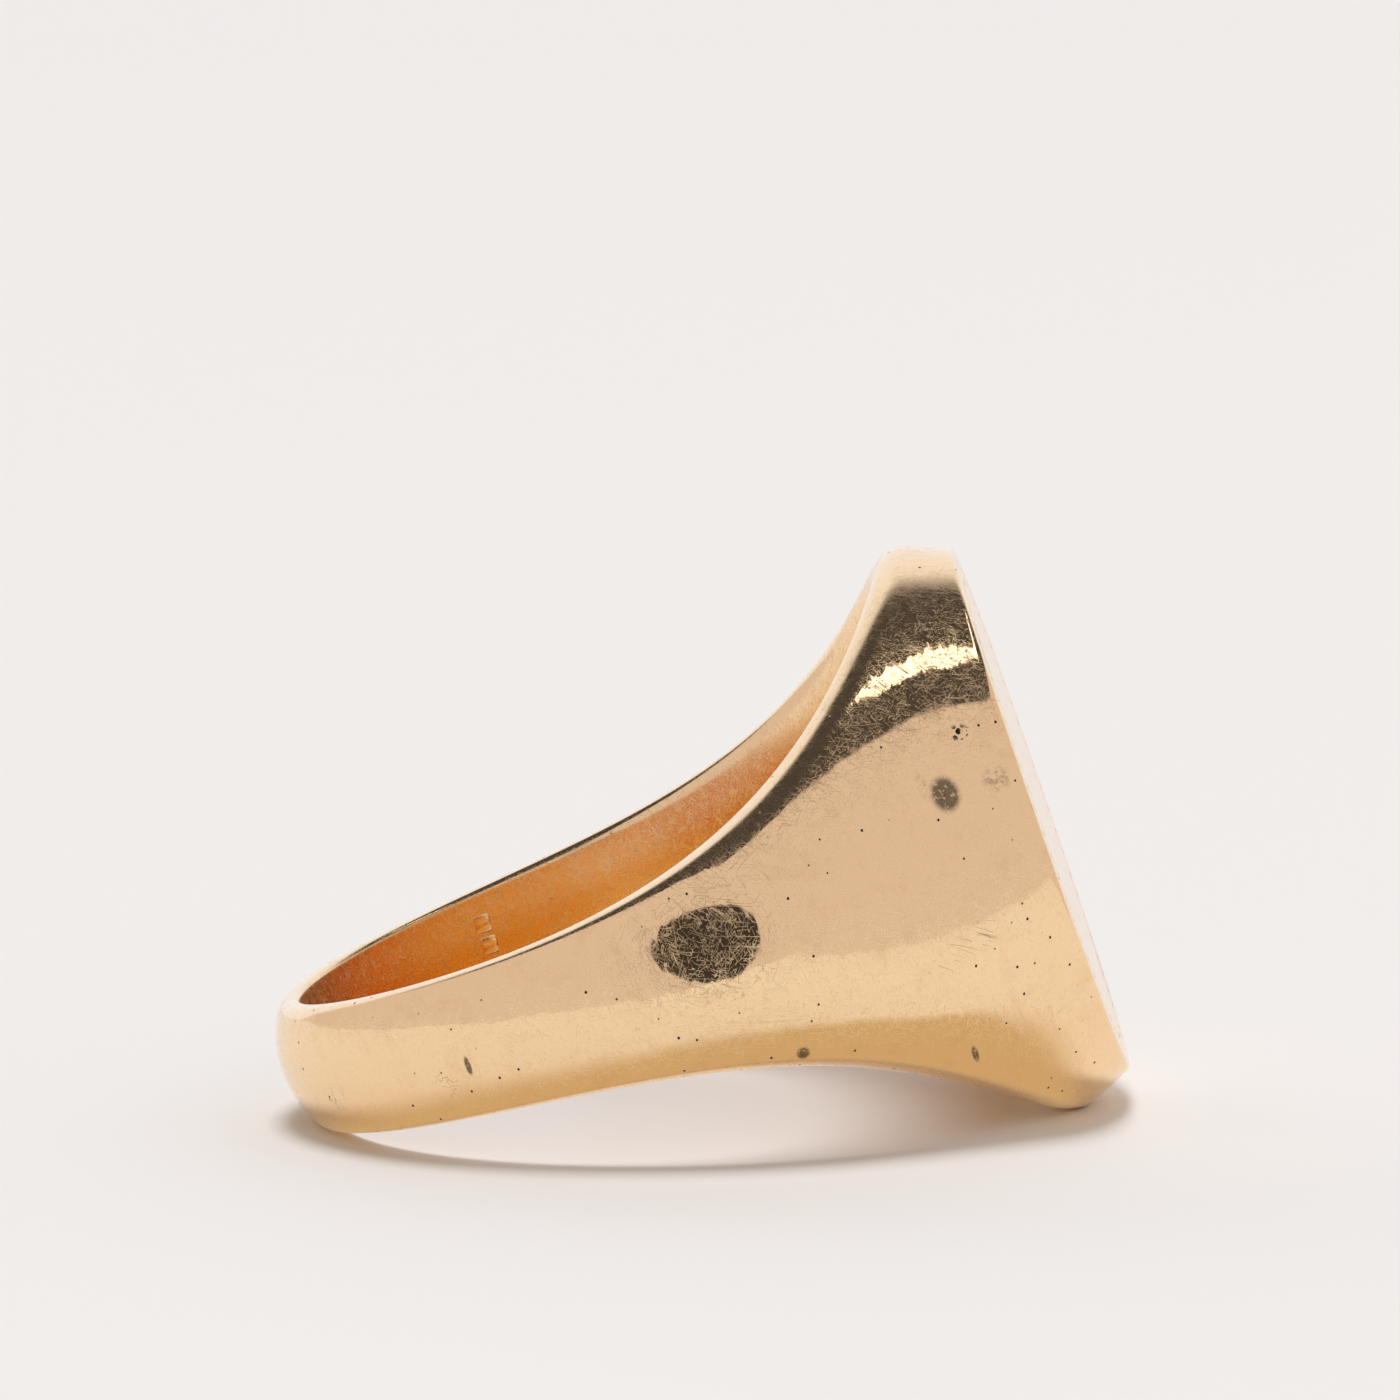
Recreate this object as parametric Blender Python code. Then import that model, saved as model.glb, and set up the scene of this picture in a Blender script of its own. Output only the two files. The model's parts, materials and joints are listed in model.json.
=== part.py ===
"""An oval signet ring in gold, built up from soldered pieces and lying on its side.

The ring is drawn about the middle of its finger hole: +X points out of the seal table, +Y runs
across the ring and +Z along the finger. An empty then tips it until the head's lower end and the
back of the shank both touch the ground, as a ring that is put down lies.
"""

import math

import bmesh
import bpy
import numpy as np

MM = 0.001

# The finger hole and the back of the shank.
HOLE_RADIUS = 9.1 * MM
SHANK_WIDTH = 3.4 * MM
SHANK_THICKNESS = 1.08 * MM
SHANK_RIM = 0.55 * MM

# The head: the flat table, and how the wall under it spreads.
TABLE_LENGTH = 14.7 * MM
TABLE_WIDTH = 11.6 * MM
HEAD_THICKNESS = 2.32 * MM
HEAD_LENGTH = 15.84 * MM
WALL_FLARE = math.radians(24.5)
WALL_SPREAD = 4.0 * MM
OVAL_POWER = 2.15

# The outline seen along the finger: widest a little in front of the hole's middle.
SIDE_THICKNESS = 1.3 * MM
WIDEST_FORWARD = 1.5 * MM
SHOULDER_SLOPE = math.radians(29.0)
SHOULDER_RUN = 4.0 * MM
SIDE_RUN = 4.6 * MM

# The flare of the shoulders: a bell round the head, and a slow taper all the way to the back.
FLARE_REACH = math.radians(55.5)
TAPER_SHARE = 0.045

# The pieces, by the angle from the table's middle at which one is soldered to the next.
PLATE_THICKNESS = 1.2 * MM
HEAD_HALF_ANGLE = math.radians(37.0)
SHOULDER_END = math.radians(93.0)
SIZING_START = math.radians(127.0)
SOLDER_THICKNESS = 0.05 * MM
FIT_GAP = 0.012 * MM

# The finger hole's rims are rounded, and most of all under the head.
RIM_BEVEL = 0.14 * MM
RIM_FLARE = 0.75 * MM
RIM_REACH = math.radians(60.0)
RIM_RUN = 1.25

# The outer edges are worn round: the share of their thickness, and how far along for each depth.
EDGE_WEAR = 0.72
EDGE_WEAR_RUN = 0.8

# How finely the pieces are divided.
SECTION_STEP = math.radians(4.0)
TABLE_STEPS = 3
WALL_STEPS = 6
BORE_STEPS = 3
OUTLINE_STEPS = 240
ROOT_STEPS = 45
SMOOTH_ANGLE = math.radians(30.0)
WELD_DISTANCE = 1e-7
# Where sections cross the table's oval, from its side to near its middle.
TABLE_TURNS = np.radians((90, 80, 68, 54, 36, 18))
# No ring that rests on its head and its shank is tipped further than this.
STEEPEST_TIP = math.radians(45.0)

GOLD = (0.83, 0.60, 0.34)
SOLDER = (0.86, 0.68, 0.42)
GOLD_ROUGHNESS = 0.16
SOLDER_ROUGHNESS = 0.22

TABLE_HEIGHT = HOLE_RADIUS + HEAD_THICKNESS
TABLE_SIDE_ANGLE = math.atan2(TABLE_WIDTH / 2, TABLE_HEIGHT)


def bezier(start, first, second, end, t):
    """A cubic curve's points at the shares t."""
    start, first, second, end = (np.array(point)[:, None] for point in (start, first, second, end))
    rest = 1 - t
    return rest**3 * start + 3 * rest**2 * t * first + 3 * rest * t**2 * second + t**3 * end


def outline():
    """The ring's outline in X and Y: a cubic down each shoulder, and an elliptical back."""
    t = np.linspace(0, 1, OUTLINE_STEPS)
    edge = (TABLE_HEIGHT, TABLE_WIDTH / 2)
    fall = SHOULDER_RUN * math.cos(SHOULDER_SLOPE)
    spread = SHOULDER_RUN * math.sin(SHOULDER_SLOPE)
    under = (edge[0] - fall, edge[1] + spread)
    widest = (WIDEST_FORWARD, HOLE_RADIUS + SIDE_THICKNESS)
    shoulder = bezier(edge, under, (widest[0] + SIDE_RUN, widest[1]), widest, t)
    turn = t * math.pi / 2
    back_run = HOLE_RADIUS + SHANK_THICKNESS + WIDEST_FORWARD
    back = np.array([widest[0] - back_run * np.sin(turn), widest[1] * np.cos(turn)])
    return np.concatenate([shoulder, back[:, 1:]], axis=1)


OUTLINE = outline()


def breadth(height):
    """Half the ring's breadth at a height above the hole's middle."""
    return np.interp(-height, -OUTLINE[0], OUTLINE[1])


def crown_radius(angle):
    """The outline's distance from the hole's middle, behind the table's side."""
    return np.interp(angle, np.arctan2(OUTLINE[1], OUTLINE[0]), np.hypot(OUTLINE[0], OUTLINE[1]))


def wall_length(height):
    """Half the length of the oval that a level cut through the head makes."""
    depth = TABLE_HEIGHT - height
    return TABLE_LENGTH / 2 + math.tan(WALL_FLARE) * depth / np.sqrt(1 + (depth / WALL_SPREAD) ** 2)


def back_length(angle):
    """The same, turned into the shank's crown behind the widest place."""
    rim_share = (HOLE_RADIUS + SHANK_RIM) / (HOLE_RADIUS + SHANK_THICKNESS)
    rear = SHANK_WIDTH / 2 / (1 - rim_share**OVAL_POWER) ** (1 / OVAL_POWER)
    share = (1 - np.cos(2 * angle - math.pi)) / 2
    return wall_length(0.0) + (rear - wall_length(0.0)) * share


def half_width(angle):
    """Half the ring's width along the finger: a bell at the head on a slow taper."""
    bell = math.exp(-((angle / FLARE_REACH) ** 2))
    taper = 1 - (angle / math.pi) ** 2
    share = (1 - TAPER_SHARE) * bell + TAPER_SHARE * taper
    return SHANK_WIDTH / 2 + (HEAD_LENGTH - SHANK_WIDTH) / 2 * share


def outer_radius(angle, along):
    """The outer surface's distance from the finger's axis, under the table's plane."""
    if angle >= math.pi / 2:
        share = np.clip(along / back_length(angle), 0, 1)
        return crown_radius(angle) * (1 - share**OVAL_POWER) ** (1 / OVAL_POWER)
    above_table = angle < TABLE_SIDE_ANGLE
    highest = TABLE_HEIGHT / math.cos(angle) if above_table else 2 * TABLE_HEIGHT
    low = np.full(along.shape, HOLE_RADIUS)
    high = np.full(along.shape, highest)
    for _ in range(ROOT_STEPS):
        middle = (low + high) / 2
        height = middle * math.cos(angle)
        across = middle * math.sin(angle) / breadth(height)
        inside = across**OVAL_POWER + (along / wall_length(height)) ** OVAL_POWER < 1
        low = np.where(inside, middle, low)
        high = np.where(inside, high, middle)
    return low


def table_reach(angle):
    """Half the table's length where the section at this angle crosses it."""
    across = min(TABLE_HEIGHT * math.tan(min(angle, TABLE_SIDE_ANGLE)) / (TABLE_WIDTH / 2), 1.0)
    return TABLE_LENGTH / 2 * max(1 - across**OVAL_POWER, 0.0) ** (1 / OVAL_POWER)


def section(angle):
    """One section as points (distance from the axis, place along it), once round."""
    away = abs(math.remainder(angle, 2 * math.pi))
    side = half_width(away)
    reach = table_reach(away)
    corner = outer_radius(away, np.array([side]))[0]
    rim = RIM_BEVEL + RIM_FLARE * math.exp(-((away / RIM_REACH) ** 2))
    rim_end = side - RIM_RUN * rim
    worn_down = EDGE_WEAR * (corner - HOLE_RADIUS - rim)
    worn_along = min(EDGE_WEAR_RUN * worn_down, (side - reach) / 2)
    wall_end = side - worn_along
    wall = reach + (wall_end - reach) * np.sin(np.linspace(0, math.pi / 2, WALL_STEPS + 1))
    outer = [(radius, place) for radius, place in zip(outer_radius(away, wall), wall)]
    if away < TABLE_SIDE_ANGLE:
        level = TABLE_HEIGHT / math.cos(away)
        outer[0] = (level, reach)
    table = [(outer[0][0], reach * step / TABLE_STEPS) for step in range(TABLE_STEPS)]
    worn_edge = (corner - worn_down, side)
    middle_radius = (outer[-1][0] + 2 * corner + worn_edge[0]) / 4
    middle_place = (outer[-1][1] + 3 * side) / 4
    half = table + outer + [(middle_radius, middle_place), worn_edge, (HOLE_RADIUS + rim, side)]
    half += [(HOLE_RADIUS + rim / 4, (3 * side + rim_end) / 4)]
    bore = [(HOLE_RADIUS, place) for place in np.linspace(rim_end, -rim_end, BORE_STEPS)]
    mirrored = [(radius, -place) for radius, place in half[:0:-1]]
    return half + bore + mirrored


def section_angles(start, end):
    """Even steps from start to end, with the table's side corners among them."""
    steps = max(2, round((end - start) / SECTION_STEP))
    angles = list(np.linspace(start, end, steps + 1))
    for corner in (-TABLE_SIDE_ANGLE, TABLE_SIDE_ANGLE):
        if start < corner < end:
            rise = np.arctan(np.sin(TABLE_TURNS) * TABLE_WIDTH / 2 / TABLE_HEIGHT)
            angles = [angle for angle in angles if abs(angle) > TABLE_SIDE_ANGLE + SECTION_STEP / 3]
            angles += [*rise, 0.0, *-rise]
    return sorted(set(angles))


def section_points(angle):
    """A section's points in space."""
    return [
        (radius * math.cos(angle), radius * math.sin(angle), place) for radius, place in section(angle)
    ]


def loft_mesh(name, start, end):
    """The ring's form between two angles, closed at both ends."""
    form = bmesh.new()
    rings = [
        [form.verts.new(point) for point in section_points(angle)] for angle in section_angles(start, end)
    ]
    for near, far in zip(rings, rings[1:]):
        for index in range(len(near)):
            following = (index + 1) % len(near)
            form.faces.new((near[index], near[following], far[following], far[index]))
    form.faces.new(rings[0][::-1])
    form.faces.new(rings[-1])
    bmesh.ops.remove_doubles(form, verts=form.verts, dist=WELD_DISTANCE)
    bmesh.ops.triangulate(form, faces=form.faces)
    bmesh.ops.recalc_face_normals(form, faces=form.faces)
    mesh = bpy.data.meshes.new(name)
    form.to_mesh(mesh)
    form.free()
    mesh.shade_smooth()
    mesh.set_sharp_from_angle(angle=SMOOTH_ANGLE)
    return mesh


def clear_scene():
    for thing in list(bpy.data.objects):
        bpy.data.objects.remove(thing, do_unlink=True)


def collection(name):
    group = bpy.data.collections.new(name)
    bpy.context.scene.collection.children.link(group)
    return group


def metal(name, colour, roughness):
    """A polished metal."""
    material = bpy.data.materials.new(name)
    material.use_nodes = True
    shader = material.node_tree.nodes["Principled BSDF"]
    shader.inputs["Base Color"].default_value = (*colour, 1.0)
    shader.inputs["Metallic"].default_value = 1.0
    shader.inputs["Roughness"].default_value = roughness
    return material


def add_piece(name, mesh, material, group, pose):
    """A piece of the ring, hung on the empty that tips it."""
    piece = bpy.data.objects.new(name, mesh)
    mesh.materials.append(material)
    group.objects.link(piece)
    piece.parent = pose
    return piece


def add_slab_space(name, low, high, cutters, pose):
    """A box over the head between two heights, that a slab of the head is cut with."""
    bpy.ops.mesh.primitive_cube_add(size=1)
    space = bpy.context.object
    space.name = name
    space.parent = pose
    space.location = ((low + high) / 2, 0, 0)
    space.scale = (high - low, 4 * TABLE_HEIGHT, 2 * HEAD_LENGTH)
    for owner in list(space.users_collection):
        owner.objects.unlink(space)
    cutters.objects.link(space)
    space.hide_render = True
    space.display_type = "WIRE"
    return space


def add_head_slab(name, low, high, material, group, cutters, pose):
    """The part of the head between two heights."""
    reach = HEAD_HALF_ANGLE - FIT_GAP / HOLE_RADIUS
    piece = add_piece(name, loft_mesh(name, -reach, reach), material, group, pose)
    cut = piece.modifiers.new("slab", "BOOLEAN")
    cut.operation = "INTERSECT"
    cut.solver = "EXACT"
    cut.object = add_slab_space(name + "_space", low, high, cutters, pose)
    return piece


def add_head(group, cutters, pose):
    """The seal plate on the head block, and the solder between the two."""
    plate_low = TABLE_HEIGHT - PLATE_THICKNESS
    solder_low = plate_low - SOLDER_THICKNESS
    gold = metal("plate_gold", GOLD, GOLD_ROUGHNESS)
    add_head_slab("seal_plate", plate_low, 2 * TABLE_HEIGHT, gold, group, cutters, pose)
    solder = metal("table_solder_gold", SOLDER, SOLDER_ROUGHNESS)
    low, high = solder_low + FIT_GAP, plate_low - FIT_GAP
    add_head_slab("table_solder", low, high, solder, group, cutters, pose)
    gold = metal("block_gold", GOLD, GOLD_ROUGHNESS)
    add_head_slab("head_block", 0, solder_low, gold, group, cutters, pose)


def add_span(name, start, end, material, group, pose):
    """A piece of the band between two joints, short of each by its fit."""
    gap = FIT_GAP / HOLE_RADIUS
    return add_piece(name, loft_mesh(name, start + gap, end - gap), material, group, pose)


def add_side(side, turn, group, pose):
    """A shoulder, a length of shank and the solder at their three joints, on one side."""
    half = SOLDER_THICKNESS / HOLE_RADIUS / 2
    joints = (
        ("shoulder_solder", HEAD_HALF_ANGLE + half),
        ("shank_solder", SHOULDER_END),
        ("sizing_solder", SIZING_START),
    )
    spans = (
        ("shoulder", HEAD_HALF_ANGLE + 2 * half, SHOULDER_END - half),
        ("shank", SHOULDER_END + half, SIZING_START - half),
    )
    for name, start, end in spans:
        name = side + "_" + name
        start, end = sorted((turn * start, turn * end))
        gold = metal(name + "_gold", GOLD, GOLD_ROUGHNESS)
        add_span(name, start, end, gold, group, pose)
    for name, middle in joints:
        name = side + "_" + name
        solder = metal(name + "_gold", SOLDER, SOLDER_ROUGHNESS)
        add_span(name, turn * middle - half, turn * middle + half, solder, group, pose)


def add_sizing_piece(group, pose):
    """The length let in at the back of the shank."""
    half = SOLDER_THICKNESS / HOLE_RADIUS / 2
    start, end = SIZING_START + half, 2 * math.pi - SIZING_START - half
    gold = metal("sizing_gold", GOLD, GOLD_ROUGHNESS)
    add_span("sizing_piece", start, end, gold, group, pose)


def resting_pose():
    """The tip and the place at which the head's end and the shank's back touch the ground."""
    angles = section_angles(-math.pi, math.pi)
    points = np.array([point for angle in angles for point in section_points(angle)])
    front = points[points[:, 0] > 0]
    back = points[points[:, 0] < 0]

    def lowest(cloud, tip):
        return (cloud[:, 0] * math.sin(tip) + cloud[:, 2] * math.cos(tip)).min()

    low, high = 0.0, STEEPEST_TIP
    for _ in range(ROOT_STEPS):
        tip = (low + high) / 2
        if lowest(front, tip) < lowest(back, tip):
            low = tip
        else:
            high = tip
    ahead = points[:, 0] * math.cos(tip) - points[:, 2] * math.sin(tip)
    return tip, (-(ahead.min() + ahead.max()) / 2, 0, -lowest(points, tip))


def add_pose(group):
    """The empty that lays the ring down."""
    tip, place = resting_pose()
    pose = bpy.data.objects.new("ring_lies", None)
    group.objects.link(pose)
    pose.rotation_euler = (0, -tip, 0)
    pose.location = place
    return pose


def main():
    clear_scene()
    group = collection("signet_ring")
    cutters = collection("cutters")
    pose = add_pose(group)
    add_head(group, cutters, pose)
    for side, turn in (("left", 1), ("right", -1)):
        add_side(side, turn, group, pose)
    add_sizing_piece(group, pose)
    bpy.context.view_layer.update()


main()
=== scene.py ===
"""The signet ring's finished surfaces: every soldered piece in worn gold, in a pale studio."""

import json
import math

import bpy
import numpy as np
from bpy.props import FloatProperty, FloatVectorProperty, PointerProperty
from mathutils import Matrix, Vector


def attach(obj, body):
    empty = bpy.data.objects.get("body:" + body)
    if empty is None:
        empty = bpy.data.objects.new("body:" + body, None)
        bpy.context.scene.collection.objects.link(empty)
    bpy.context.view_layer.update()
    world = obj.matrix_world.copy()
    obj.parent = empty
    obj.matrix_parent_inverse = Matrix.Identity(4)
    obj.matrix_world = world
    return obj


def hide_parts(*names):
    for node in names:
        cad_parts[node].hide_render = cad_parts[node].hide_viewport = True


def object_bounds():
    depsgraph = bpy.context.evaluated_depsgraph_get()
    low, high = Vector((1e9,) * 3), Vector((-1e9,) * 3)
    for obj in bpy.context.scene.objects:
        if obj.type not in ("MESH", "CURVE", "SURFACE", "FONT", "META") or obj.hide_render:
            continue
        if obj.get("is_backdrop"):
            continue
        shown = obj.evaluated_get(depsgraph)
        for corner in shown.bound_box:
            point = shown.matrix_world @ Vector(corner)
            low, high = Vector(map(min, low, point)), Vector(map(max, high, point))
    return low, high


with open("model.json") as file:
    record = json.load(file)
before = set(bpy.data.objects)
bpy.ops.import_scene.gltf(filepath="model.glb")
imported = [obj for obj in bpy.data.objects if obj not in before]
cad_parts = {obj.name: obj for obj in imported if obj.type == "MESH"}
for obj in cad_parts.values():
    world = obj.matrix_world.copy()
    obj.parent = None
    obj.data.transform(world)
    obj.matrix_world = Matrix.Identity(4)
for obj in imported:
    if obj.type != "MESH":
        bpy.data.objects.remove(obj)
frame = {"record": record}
CAD_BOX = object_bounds()
MOUNTS = {mount["name"]: mount for mount in frame["record"]["mounts"]}

bl_info = {
    "name": "Signet Ring",
    "version": (1, 0, 0),
    "blender": (4, 5, 0),
    "location": "View3D > Sidebar > Signet Ring",
    "description": "Models the pieces of a worn gold signet ring and the studio it lies in",
    "category": "Add Mesh",
}

MM = 0.001

# The ring's own axes in the frame: out of the table, across the ring, along the finger.
HOLE = Vector(MOUNTS["finger_hole"]["pos_m"])
TABLE = Vector(MOUNTS["seal_table"]["pos_m"])
OUT = Vector(MOUNTS["seal_table"]["axis"]).normalized()
ALONG = Vector(MOUNTS["finger_hole"]["axis"]).normalized()
ACROSS = ALONG.cross(OUT).normalized()
TO_FRAME = Matrix((OUT, ACROSS, ALONG)).transposed()
TABLE_HEIGHT = (TABLE - HOLE).length

# How finely the surface is divided: round the ring, beside the table's sides, and along a section.
ANGLE_STEP = math.radians(1.0)
CORNER_STEPS = (0.1, 0.25, 0.45, 0.7)
TABLE_STEPS = 16
WALL_STEPS = 40
WALL_CROWDING = 1.2
EDGE_STEPS = 10
BORE_STEPS = 12
OUTLINE_STEPS = 400
ROOT_STEPS = 40
WELD_DISTANCE = 2e-8
SAW_THRESHOLD = 1e-8
SMOOTH_ANGLE = math.radians(32)


def length(name, description, default):
    """A length that a user can set, in metres."""
    return FloatProperty(name=name, description=description, default=default,
                         unit="LENGTH", precision=5)


def angle(name, description, degrees):
    """An angle that a user can set, given here in degrees."""
    return FloatProperty(name=name, description=description, default=math.radians(degrees),
                         unit="ROTATION")


def colour(name, description, default):
    """A colour that a user can set, in linear light."""
    return FloatVectorProperty(name=name, description=description, default=default,
                               subtype="COLOR", min=0.0, max=1.0)


class RingSizes(bpy.types.PropertyGroup):
    hole_radius: length("Hole radius", "Radius of the finger hole", 9.1 * MM)
    shank_width: length("Shank width", "Width of the shank at the back", 3.4 * MM)
    shank_thickness: length("Shank thickness", "Thickness of the shank at the back", 1.08 * MM)
    shank_rim: length("Shank rim", "Thickness left at the shank's edges", 0.55 * MM)
    table_length: length("Table length", "Length of the seal table along the finger", 14.7 * MM)
    table_width: length("Table width", "Width of the seal table across the finger", 11.6 * MM)
    head_length: length("Head length", "Greatest length of the head along the finger", 15.84 * MM)
    wall_flare: angle("Wall flare", "Spread of the wall under the table", 24.5)
    wall_spread: length("Wall spread", "Depth over which the wall turns upright", 4.0 * MM)
    ring_breadth: length("Ring breadth", "Breadth of the ring across the shoulders", 20.8 * MM)
    widest_forward: length("Widest place", "How far in front of the hole's middle the ring is widest",
                           1.5 * MM)
    shoulder_slope: angle("Shoulder slope", "Slope of the shoulders beside the table", 29.0)
    shoulder_run: length("Shoulder run", "Length of the shoulder's straight part", 4.0 * MM)
    side_run: length("Side run", "Length over which the side turns", 4.6 * MM)
    flare_reach: angle("Flare reach", "How far round the ring the shoulders' flare reaches", 55.5)
    plate_thickness: length("Plate thickness", "Thickness of the seal plate", 1.2 * MM)
    solder_thickness: length("Solder thickness", "Thickness of the solder in a joint", 0.05 * MM)
    edge_wear: FloatProperty(name="Edge wear", default=0.72, min=0.05, max=0.95,
                             description="Share of the edge's thickness that is rounded off")
    bore_round: length("Bore round", "Rounding of the finger hole's rims", 0.16 * MM)
    bore_flare: length("Bore flare", "Further rounding of the rims under the head", 0.75 * MM)
    table_round: length("Table round", "Wear on the table's edge", 0.16 * MM)


class RingLooks(bpy.types.PropertyGroup):
    gold: colour("Gold", "Colour of the gold", (0.985, 0.72, 0.43))
    solder: colour("Solder", "Colour of the solder", (0.975, 0.73, 0.45))
    tarnish: colour("Tarnish", "Colour of tarnish and of dirt in the pits", (0.045, 0.035, 0.028))
    floor: colour("Floor", "Colour of the paper that the ring lies on", (0.86, 0.845, 0.825))


# The form: how square the ovals are, and how much of the ring's width is a slow taper.
OVAL_POWER = 2.15
TAPER_SHARE = 0.045

# The wear: how far an edge is worn along the ring's width for its depth, and for the finger
# hole's rims how far round the ring the extra rounding reaches, and its run for its depth.
EDGE_WEAR_RUN = 0.8
RIM_REACH = math.radians(60.0)
RIM_RUN = 1.25

# Where the pieces are joined, as angles round the finger from the middle of the table.
HEAD_HALF_ANGLE = math.radians(37.0)
SHOULDER_END = math.radians(93.0)
SIZING_START = math.radians(127.0)


def sizes():
    return bpy.context.scene.ring_sizes


def looks():
    return bpy.context.scene.ring_looks


# ---------------------------------------------------------------- the ring's form


def bezier(points, t):
    """A quadratic or cubic curve's points at the shares t."""
    points = [np.asarray(point, float)[:, None] for point in points]
    while len(points) > 1:
        points = [(1 - t) * start + t * end for start, end in zip(points, points[1:])]
    return points[0]


def outline():
    """The outline seen along the finger, from above the table down one shoulder to the back."""
    s = sizes()
    t = np.linspace(0, 1, OUTLINE_STEPS)
    edge = np.array([TABLE_HEIGHT, s.table_width / 2])
    slope = np.array([-math.cos(s.shoulder_slope), math.sin(s.shoulder_slope)])
    widest = np.array([s.widest_forward, s.ring_breadth / 2])
    shoulder = bezier((edge, edge + slope * s.shoulder_run, widest + (s.side_run, 0), widest), t)
    back_run = s.hole_radius + s.shank_thickness + s.widest_forward
    turn = t[1:] * math.pi / 2
    back = np.array([widest[0] - back_run * np.sin(turn), widest[1] * np.cos(turn)])
    above = (edge - slope * s.shoulder_run / 2)[:, None]
    return np.concatenate([above, shoulder, back], axis=1)


class Form:
    """The ring's outer surface as a distance from the finger's axis."""

    def __init__(self):
        self.sizes = sizes()
        self.line = outline()
        s = self.sizes
        self.side_angle = math.atan2(s.table_width / 2, TABLE_HEIGHT)
        share = (s.hole_radius + s.shank_rim) / (s.hole_radius + s.shank_thickness)
        self.rear_length = s.shank_width / 2 / (1 - share**OVAL_POWER) ** (1 / OVAL_POWER)

    def breadth(self, height):
        return np.interp(-height, -self.line[0], self.line[1])

    def crown(self, turn):
        """The outline's distance from the hole's middle."""
        return np.interp(turn, np.arctan2(self.line[1], self.line[0]), np.hypot(*self.line))

    def wall_length(self, height):
        """Half the length of the oval that a level cut through the head makes."""
        s = self.sizes
        depth = TABLE_HEIGHT - height
        flare = math.tan(s.wall_flare) * depth / np.sqrt(1 + (depth / s.wall_spread) ** 2)
        return s.table_length / 2 + flare

    def back_length(self, turn):
        front = self.wall_length(0.0)
        return front + (self.rear_length - front) * (1 - math.cos(2 * turn - math.pi)) / 2

    def half_width(self, turn):
        """Half the ring's width: a bell at the head on a slow taper."""
        s = self.sizes
        bell = math.exp(-((turn / s.flare_reach) ** 2))
        share = (1 - TAPER_SHARE) * bell + TAPER_SHARE * (1 - (turn / math.pi) ** 2)
        return s.shank_width / 2 + (s.head_length - s.shank_width) / 2 * share

    def table_reach(self, turn):
        """Half the table's length where the section at this angle crosses it."""
        s = self.sizes
        across = min(math.tan(min(turn, self.side_angle)) / math.tan(self.side_angle), 1.0)
        return s.table_length / 2 * max(1 - across**OVAL_POWER, 0.0) ** (1 / OVAL_POWER)

    def wall_radius(self, turn, along):
        """The distance out to the wall, shoulder or shank, as if the table were not cut."""
        if turn >= math.pi / 2:
            share = np.clip(along / self.back_length(turn), 0, 1)
            return self.crown(turn) * (1 - share**OVAL_POWER) ** (1 / OVAL_POWER)
        low = np.full(along.shape, self.sizes.hole_radius)
        high = np.full(along.shape, 2 * TABLE_HEIGHT)
        for _ in range(ROOT_STEPS):
            middle = (low + high) / 2
            height = middle * math.cos(turn)
            across = middle * math.sin(turn) / self.breadth(height)
            inside = across**OVAL_POWER + (along / self.wall_length(height)) ** OVAL_POWER < 1
            low = np.where(inside, middle, low)
            high = np.where(inside, high, middle)
        return low

    def radius(self, turn, along):
        """The outer surface, with the table's worn edge where the two surfaces meet."""
        wall = self.wall_radius(turn, along)
        if turn >= math.pi / 3:
            return wall
        table = TABLE_HEIGHT / math.cos(turn)
        worn = self.sizes.table_round
        blend = np.clip(0.5 + 0.5 * (wall - table) / worn, 0, 1)
        return wall + (table - wall) * blend - worn * blend * (1 - blend)

    def section(self, turn):
        """One section, once round, as points (distance from the axis, place along it)."""
        s = self.sizes
        turn = abs(math.remainder(turn, 2 * math.pi))
        side = self.half_width(turn)
        reach = self.table_reach(turn)
        steps = np.linspace(0, 1, TABLE_STEPS, endpoint=False)
        table = reach * np.sin(steps * math.pi / 2)
        rise = np.linspace(0, 1, WALL_STEPS + 1)
        corner = float(self.radius(turn, np.array([side]))[0])
        bell = math.exp(-((turn / RIM_REACH) ** 2))
        flare = s.bore_round + s.bore_flare * bell
        worn_down = s.edge_wear * (corner - s.hole_radius - flare)
        worn_along = min(EDGE_WEAR_RUN * worn_down, 0.5 * (side - reach))
        crowding = 1.0 + WALL_CROWDING * reach / (s.table_length / 2)
        wall = reach + (side - worn_along - reach) * rise**crowding
        places = np.concatenate([table, wall])
        outer = np.array([self.radius(turn, places), places])
        t = np.linspace(0, 1, EDGE_STEPS + 1)[1:]
        edge = bezier((outer[:, -1], (corner, side), (corner - worn_down, side)), t)
        hole = s.hole_radius
        rim_end = side - RIM_RUN * flare
        rim = bezier(((hole + flare, side), (hole, side), (hole, rim_end)), t)
        bore_places = rim_end * np.linspace(1, 0, BORE_STEPS + 1)[1:]
        bore = np.array([np.full(BORE_STEPS, hole), bore_places])
        half = np.concatenate([outer, edge, [[hole + flare], [side]], rim, bore], axis=1)
        mirrored = half[:, -2:0:-1] * np.array([[1], [-1]])
        return np.concatenate([half, mirrored], axis=1)

    def turns(self):
        """The angles of the sections, closer together where the table's sides end."""
        even = list(np.arange(0, math.pi + ANGLE_STEP / 2, ANGLE_STEP))
        near = self.side_angle
        even = [turn for turn in even if abs(turn - near) > 0.9 * ANGLE_STEP]
        close = [near + sign * ANGLE_STEP * step for step in CORNER_STEPS for sign in (-1, 1)]
        half = sorted(even + close + [near])
        return half + [2 * math.pi - turn for turn in half[-2:0:-1]]


def to_frame(points):
    """Points on the ring's own axes, taken into the frame."""
    return np.asarray(points) @ np.array(TO_FRAME).T + np.array(HOLE)


def deselect_all():
    if bpy.context.mode != "OBJECT":
        bpy.ops.object.mode_set(mode="OBJECT")
    bpy.ops.object.select_all(action="DESELECT")


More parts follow.
